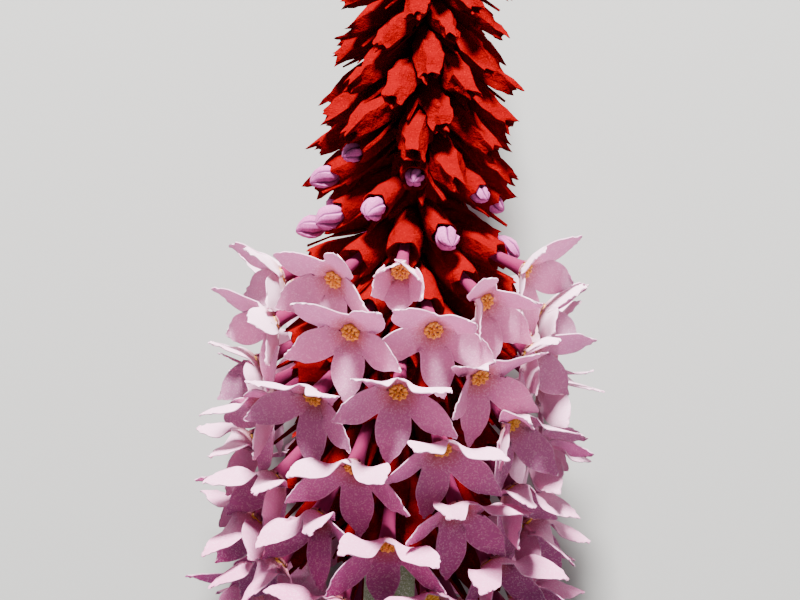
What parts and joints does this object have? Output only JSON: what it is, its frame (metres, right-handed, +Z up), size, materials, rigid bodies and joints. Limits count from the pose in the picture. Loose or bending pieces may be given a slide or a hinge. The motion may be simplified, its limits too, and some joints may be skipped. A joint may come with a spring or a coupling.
{
  "type": "cut orchid primrose flower spike",
  "caption": "Cut orchid primrose lying on its side: a bare round scape and a dense pointed spike of red calyces over nodding lilac-pink flowers.",
  "frame": {"origin": "on the table, under the middle of the whole flower as it lies", "axes": "+Y along the spike towards its tip, +X to the right when looking down on the flower with its tip at the top, +Z up from the table"},
  "size_m": [0.0372, 0.1872, 0.0326],
  "materials": {
    "stem": "matt pale green plant tissue under a thin white meal",
    "calyx": "matt crimson plant tissue, finely granular",
    "corolla": "soft satin lilac-pink petal, finely pebbled, paler at the rim",
    "bud": "satin lilac bud with darker seams",
    "eye": "matt golden orange throat and anthers"
  },
  "bodies": {
    "root": {"calyx_spike": "calyx", "corolla_01": "corolla", "corolla_02": "corolla", "corolla_03": "corolla", "corolla_04": "corolla", "corolla_05": "corolla", "corolla_06": "corolla", "corolla_07": "corolla", "corolla_08": "corolla", "corolla_09": "corolla", "corolla_10": "corolla", "corolla_11": "corolla", "corolla_12": "corolla", "corolla_13": "corolla", "corolla_14": "corolla", "corolla_15": "corolla", "corolla_16": "corolla", "corolla_17": "corolla", "corolla_18": "corolla", "corolla_19": "corolla", "corolla_20": "corolla", "corolla_21": "corolla", "corolla_22": "corolla", "corolla_23": "corolla", "corolla_24": "corolla", "corolla_25": "corolla", "corolla_26": "corolla", "corolla_27": "corolla", "corolla_28": "corolla", "corolla_29": "corolla", "corolla_30": "corolla", "corolla_31": "corolla", "corolla_32": "corolla", "corolla_33": "corolla", "corolla_34": "corolla", "corolla_35": "corolla", "corolla_36": "corolla", "corolla_37": "corolla", "corolla_38": "corolla", "corolla_39": "corolla", "corolla_40": "corolla", "corolla_41": "corolla", "corolla_42": "corolla", "corolla_43": "corolla", "corolla_44": "corolla", "corolla_45": "corolla", "corolla_46": "corolla", "corolla_47": "corolla", "corolla_48": "corolla", "corolla_49": "corolla", "corolla_50": "corolla", "corolla_51": "corolla", "corolla_52": "corolla", "corolla_53": "corolla", "corolla_54": "corolla", "corolla_55": "corolla", "stem": "stem"}
  },
  "joints": []
}
